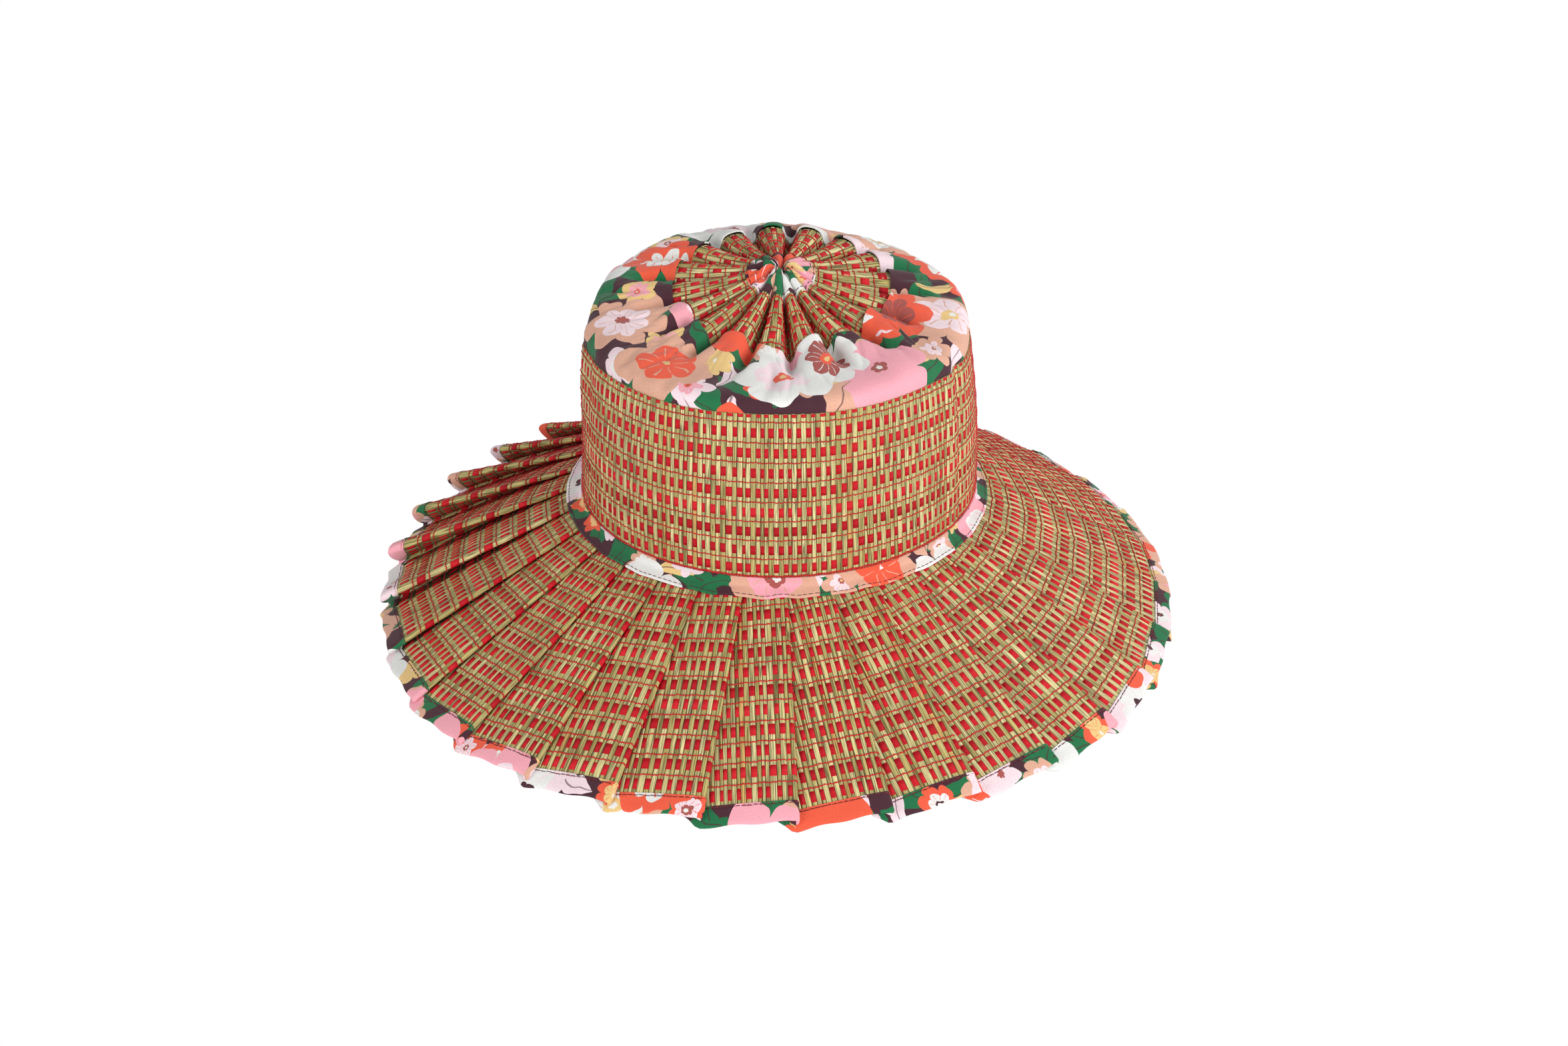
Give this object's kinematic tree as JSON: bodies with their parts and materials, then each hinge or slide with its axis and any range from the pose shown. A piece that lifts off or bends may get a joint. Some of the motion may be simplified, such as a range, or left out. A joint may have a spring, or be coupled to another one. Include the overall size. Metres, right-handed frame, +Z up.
{
  "type": "pleated straw sun hat",
  "caption": "Wide-brimmed sun hat of woven reed matting with a pleated brim, upright side band, gathered rosette top and printed cotton trim.",
  "frame": {"origin": "on the hat's axis, in the plane that the brim's bound edge rests on", "axes": "+Z up along the crown's axis, -Y towards the front, +X to the right as seen from the front"},
  "size_m": [0.3859, 0.386, 0.1564],
  "materials": {
    "reed_matting": "dry, matt",
    "red_thread": "slightly glossy fibre",
    "printed_cotton": "matt floral print",
    "puffed_cotton": "matt floral print",
    "sewing_thread": "matt",
    "lining_cotton": "matt"
  },
  "bodies": {
    "root": {"crown_rosette": "reed_matting", "rosette_binding": "printed_cotton", "rosette_stitching": "sewing_thread", "rosette_gathering_thread": "sewing_thread", "crown_ring": "puffed_cotton", "side_band": "reed_matting", "side_band_threads": "red_thread", "side_band_ribbons": "red_thread", "band_join_stitching": "sewing_thread", "head_binding": "printed_cotton", "head_binding_stitching": "sewing_thread", "brim": "reed_matting", "brim_edge_binding": "printed_cotton", "brim_edge_stitching": "sewing_thread", "sweatband": "lining_cotton", "sweatband_stitching": "sewing_thread"}
  },
  "joints": []
}
